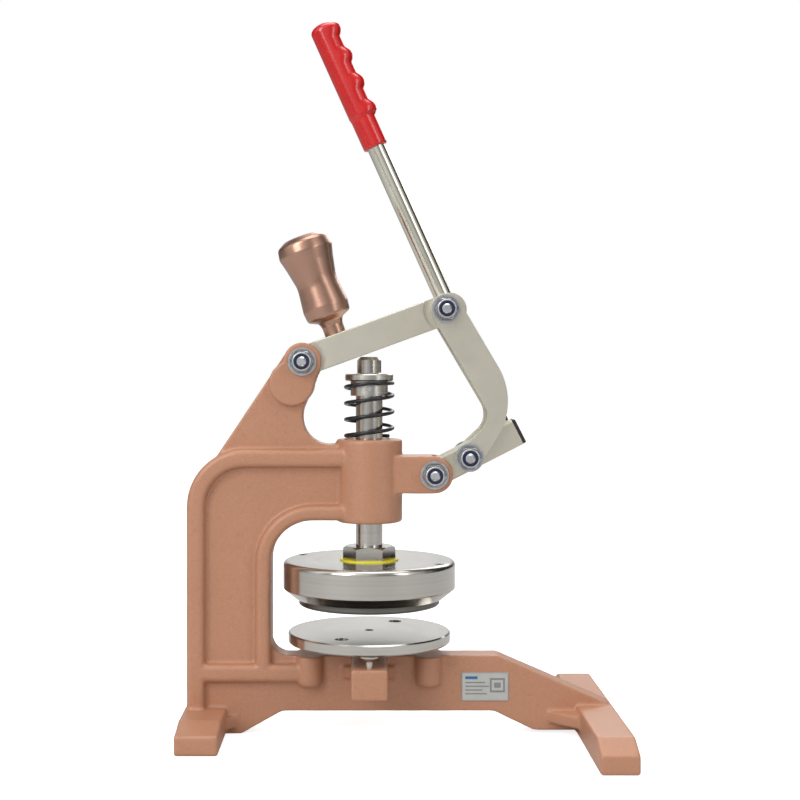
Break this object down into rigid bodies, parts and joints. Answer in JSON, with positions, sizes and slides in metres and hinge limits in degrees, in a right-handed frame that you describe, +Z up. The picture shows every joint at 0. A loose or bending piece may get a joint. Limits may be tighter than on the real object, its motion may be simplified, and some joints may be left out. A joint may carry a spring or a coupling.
{
  "type": "cup sealing press",
  "caption": "Hand-lever toggle press: a C-frame on cross feet, a spring-returned ram with a round sealing die, and a fixed round plate.",
  "frame": {"origin": "on the standing surface, under the middle of the overall box", "axes": "+Z up along the handle's height, +X towards the operator, Y across the feet"},
  "size_m": [0.318, 0.24, 0.5381],
  "materials": {
    "frame_paint": "satin textured copper-brown paint",
    "bronze": "machined",
    "zinc_steel": "bright zinc plate",
    "blue_nylon": "nylon",
    "polished_steel": "turned and polished",
    "dark_steel": "dark",
    "support_steel": "machined",
    "label_film": "silver film",
    "nickel_plate": "satin champagne nickel",
    "bright_rod": "bright nickel",
    "black_plastic": "moulded",
    "red_grip": "glossy dipped vinyl",
    "rose_knob": "pearl rose-copper",
    "black_spring": "black",
    "yellow_shim": "bright yellow"
  },
  "bodies": {
    "frame": {"arm_pivot_bolt": "zinc_steel", "arm_pivot_nut": "zinc_steel", "arm_pivot_nut_ring": "blue_nylon", "arm_pivot_washers": "zinc_steel", "frame_casting": "frame_paint", "guide_bush": "bronze", "label_plate": "label_film", "lever_pivot_bolt": "zinc_steel", "lever_pivot_nut": "zinc_steel", "lever_pivot_nut_ring": "blue_nylon", "lever_pivot_washers": "zinc_steel", "lower_plate": "polished_steel", "plate_post": "polished_steel", "plate_screws": "dark_steel", "plate_support_studs": "support_steel", "return_spring": "black_spring"},
    "lever": {"lever_bar": "nickel_plate", "bar_end_cap": "black_plastic", "handle_boss": "nickel_plate", "handle_rod": "bright_rod", "grip": "red_grip", "link_pivot_bolt": "zinc_steel", "link_pivot_washers": "zinc_steel", "link_pivot_nut": "zinc_steel", "link_pivot_nut_ring": "blue_nylon"},
    "link": {"link_plate_front": "nickel_plate", "link_plate_rear": "nickel_plate", "link_top_bolt": "zinc_steel", "link_top_washer": "zinc_steel", "link_top_nut": "zinc_steel", "link_top_nut_ring": "blue_nylon"},
    "arm": {"press_arm": "nickel_plate", "knob": "rose_knob", "knob_stud": "dark_steel"},
    "ram": {"ram": "polished_steel", "spring_collar": "support_steel", "collar_pin": "zinc_steel", "upper_die": "polished_steel", "die_screws": "dark_steel", "die_ring": "dark_steel", "die_shim": "yellow_shim", "die_lock_nut": "polished_steel"}
  },
  "joints": [
    {"name": "lever_swing", "type": "hinge", "parent": "frame", "child": "lever", "pos_m": [0.0263, 0, 0.1923], "axis": [0, 1, 0], "range_deg": [0, 90]},
    {"name": "link_swing", "type": "hinge", "parent": "lever", "child": "link", "pos_m": [0.05196, 0, 0.20537], "axis": [0, 1, 0], "range_deg": [-81, 1]},
    {"name": "arm_swing", "type": "hinge", "parent": "frame", "child": "arm", "pos_m": [-0.0716, 0, 0.2763], "axis": [0, 1, 0], "range_deg": [-0.5, 20]},
    {"name": "ram_slide", "type": "slide", "parent": "frame", "child": "ram", "axis": [0, 0, -1], "range_m": [-0.0003, 0.015], "stiffness_N_per_m": 2500, "springref_m": -0.032, "deforming": ["return_spring"]}
  ],
  "couplings": [
    {"joint": "link_swing", "follows": "lever_swing", "ratio": -0.88828},
    {"joint": "arm_swing", "follows": "lever_swing", "ratio": 0.21483},
    {"joint": "ram_slide", "follows": "lever_swing", "m_per_rad": 0.009231}
  ]
}
